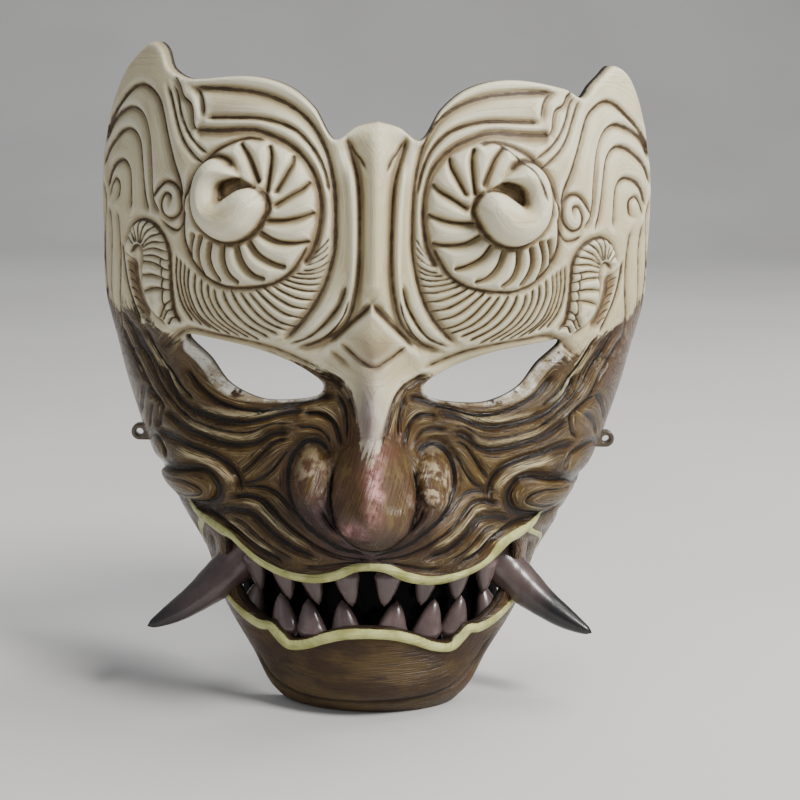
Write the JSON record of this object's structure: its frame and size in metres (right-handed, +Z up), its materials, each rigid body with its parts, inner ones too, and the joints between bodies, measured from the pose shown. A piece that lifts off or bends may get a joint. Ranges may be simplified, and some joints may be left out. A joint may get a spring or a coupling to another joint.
{
  "type": "noh mask",
  "caption": "Full-face ogre theatre mask: thin shell with swirled brows, open eye holes, toothed mouth with two curved tusks, side lugs for a head strap and glued pads.",
  "frame": {"origin": "centre of the rear rim, in the plane where the mask meets the wearer's head or a wall, level with the middle of its height", "axes": "+Z up to the ears, +X to the right of someone facing the mask, +Y out of the back; the face looks along -Y"},
  "size_m": [0.2064, 0.1103, 0.2291],
  "materials": {
    "shell_paint": "satin varnish over ivory and umber paint",
    "mouth_black": "gloss",
    "tooth_resin": "gloss",
    "tusk_resin": "gloss, black at the tip",
    "pad_felt": "matt felt over foam"
  },
  "bodies": {
    "root": {"mask_shell": "shell_paint", "mouth_plate": "mouth_black", "tusk_left": "tusk_resin", "tusk_right": "tusk_resin", "upper_tooth_1": "tooth_resin", "upper_tooth_2": "tooth_resin", "upper_tooth_3": "tooth_resin", "upper_tooth_4": "tooth_resin", "upper_tooth_5": "tooth_resin", "upper_tooth_6": "tooth_resin", "upper_tooth_7": "tooth_resin", "upper_tooth_8": "tooth_resin", "lower_tooth_1": "tooth_resin", "lower_tooth_2": "tooth_resin", "lower_tooth_3": "tooth_resin", "lower_tooth_4": "tooth_resin", "lower_tooth_5": "tooth_resin", "lower_tooth_6": "tooth_resin", "lower_tooth_7": "tooth_resin", "lower_tooth_8": "tooth_resin", "strap_lug_left": "shell_paint", "strap_lug_right": "shell_paint", "forehead_pad": "pad_felt", "cheek_pad_left": "pad_felt", "cheek_pad_right": "pad_felt"}
  },
  "joints": []
}
